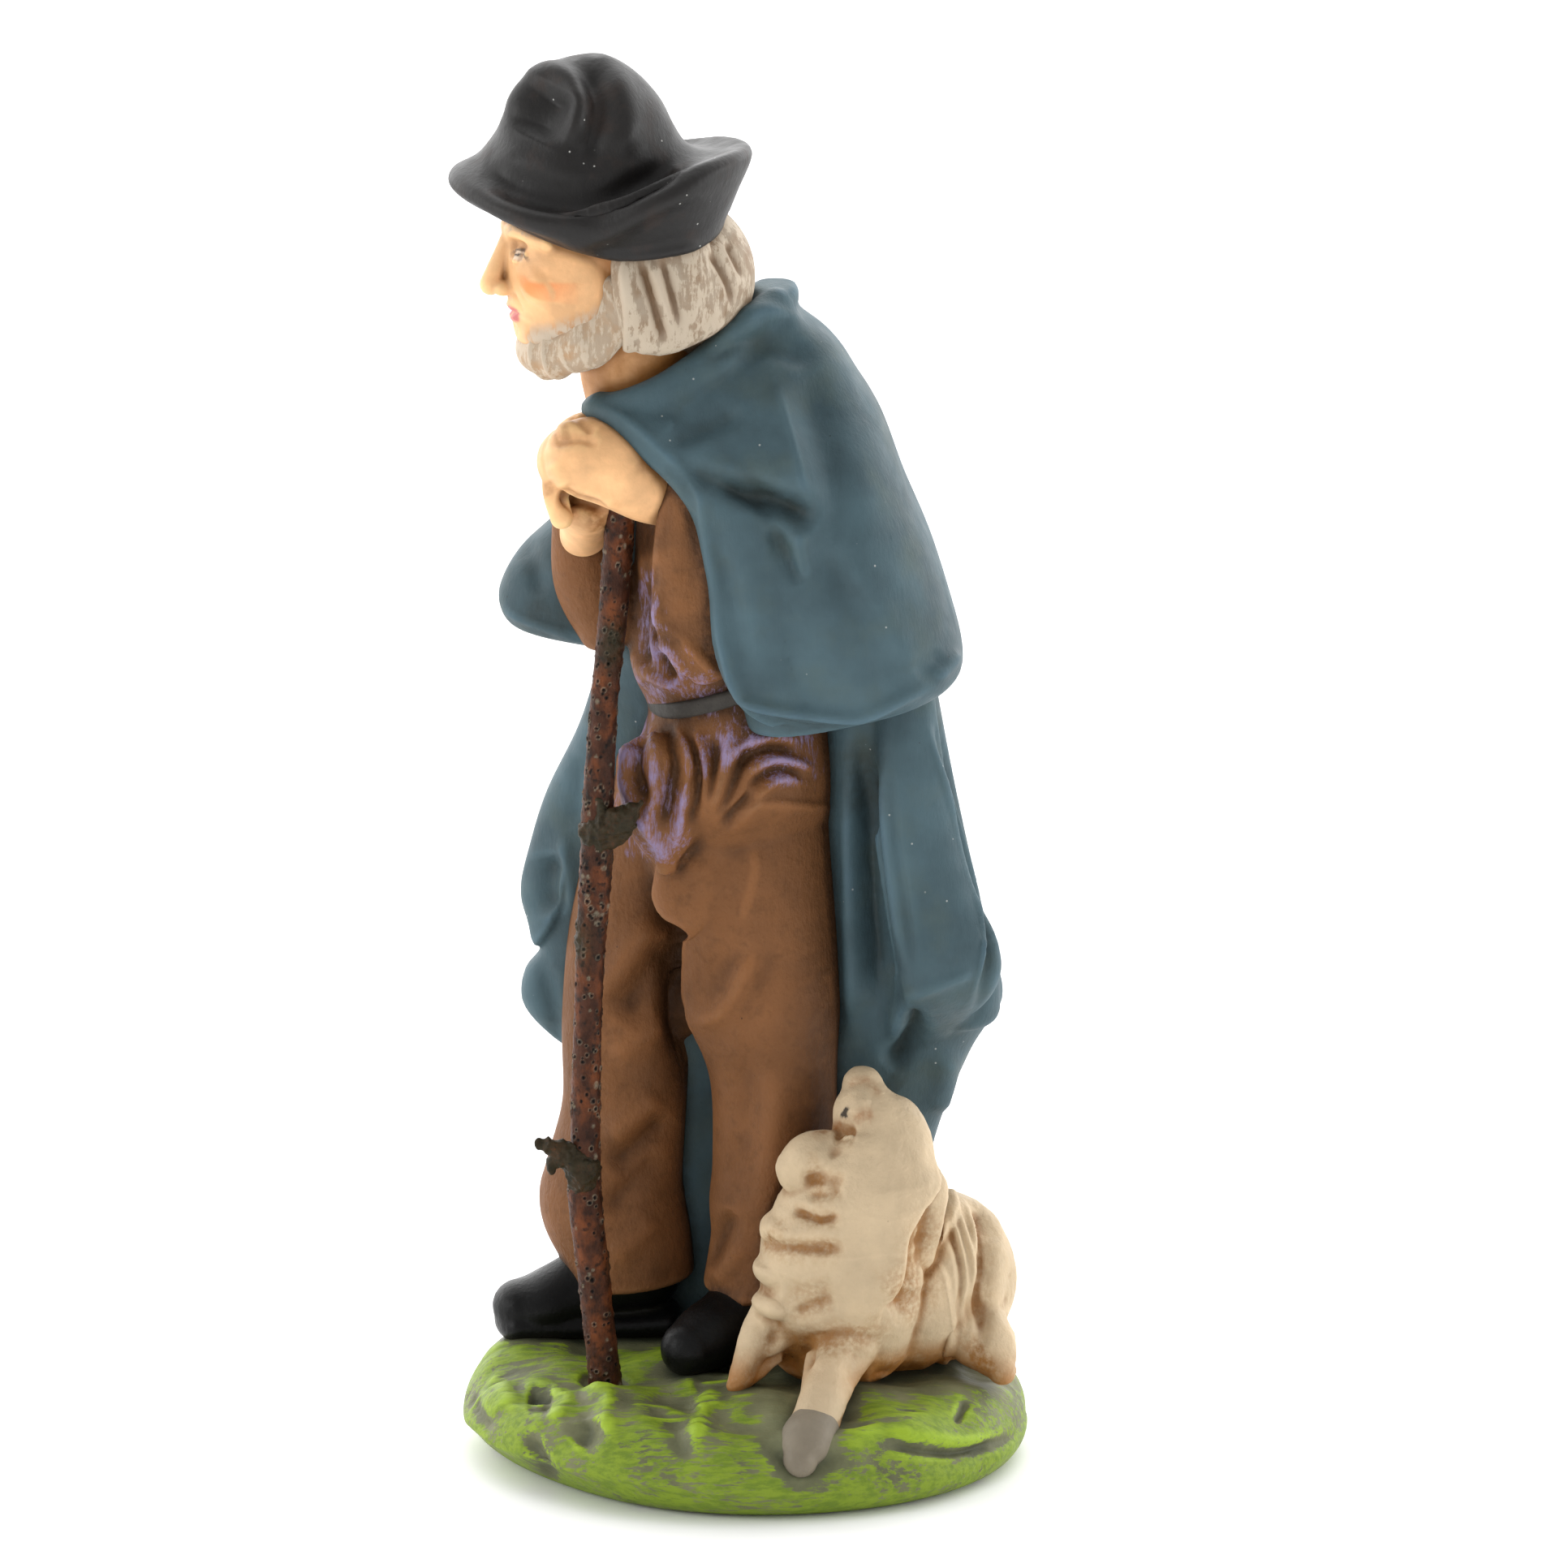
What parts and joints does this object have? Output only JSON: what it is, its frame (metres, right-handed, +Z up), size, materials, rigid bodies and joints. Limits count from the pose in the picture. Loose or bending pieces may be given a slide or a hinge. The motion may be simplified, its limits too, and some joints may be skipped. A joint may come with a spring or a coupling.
{
  "type": "presepe figure",
  "caption": "Painted crib figure: an old shepherd in hat and cloak leans on a real twig staff on a grassy base, with a sheep lying at his feet.",
  "frame": {"origin": "middle of the oval base's flat underside", "axes": "+Z up, +X to the right of the pictured side along the base's long axis, +Y away from the viewer"},
  "size_m": [0.0705, 0.0619, 0.1778],
  "materials": {
    "painted_cast": "satin hand paint",
    "bark_twig": "natural bark"
  },
  "bodies": {
    "root": {"shepherd_cast": "painted_cast", "twig_staff": "bark_twig"}
  },
  "joints": []
}
